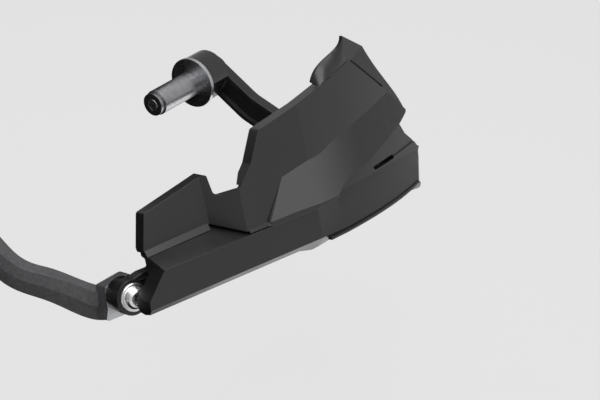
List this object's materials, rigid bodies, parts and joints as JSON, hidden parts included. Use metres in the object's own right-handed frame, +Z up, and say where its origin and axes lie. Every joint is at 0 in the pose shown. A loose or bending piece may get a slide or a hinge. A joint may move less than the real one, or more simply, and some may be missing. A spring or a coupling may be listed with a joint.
{
  "type": "motorcycle hand guard",
  "caption": "Hand guard for the left end of a motorcycle handlebar: moulded shell and tall wind deflector on a forged backbone, fixed in the bar's end and clamped on the bar.",
  "frame": {"origin": "on the handlebar's axis, at the face of the bright ring that meets the bar's end", "axes": "+X along the handlebar towards its free end, +Y back to the rider, +Z up"},
  "size_m": [0.2997, 0.1923, 0.1382],
  "materials": {
    "shell_plastic": "fine-grained black injection-moulded plastic",
    "deflector_plastic": "smooth black injection-moulded plastic",
    "forged_black": "forged aluminium, satin black powder coat",
    "turned_black": "turned aluminium, black anodised",
    "bright_aluminium": "turned, left bright",
    "cast_black": "cast aluminium, dark grey coat",
    "zinc_steel": "bright zinc plate",
    "black_steel": "black oxide",
    "sleeve_steel": "turned",
    "insert_brass": "knurled inserts"
  },
  "bodies": {
    "root": {"guard_shell": "shell_plastic", "wind_deflector": "deflector_plastic", "backbone": "forged_black", "inner_arm": "cast_black", "clamp_cap": "cast_black", "pivot_screw": "zinc_steel", "pivot_spacer": "turned_black", "bar_end_ring": "bright_aluminium", "bar_end_spacer": "turned_black", "bar_end_washer": "zinc_steel", "bar_end_bolt": "zinc_steel", "expander_sleeve": "sleeve_steel", "expander_cone": "sleeve_steel", "clamp_screws": "black_steel", "clamp_washers": "black_steel", "shell_screws": "black_steel", "shell_washers": "black_steel", "shell_inserts": "insert_brass", "deflector_screws": "black_steel", "deflector_washers": "black_steel", "deflector_inserts": "insert_brass"}
  },
  "joints": []
}
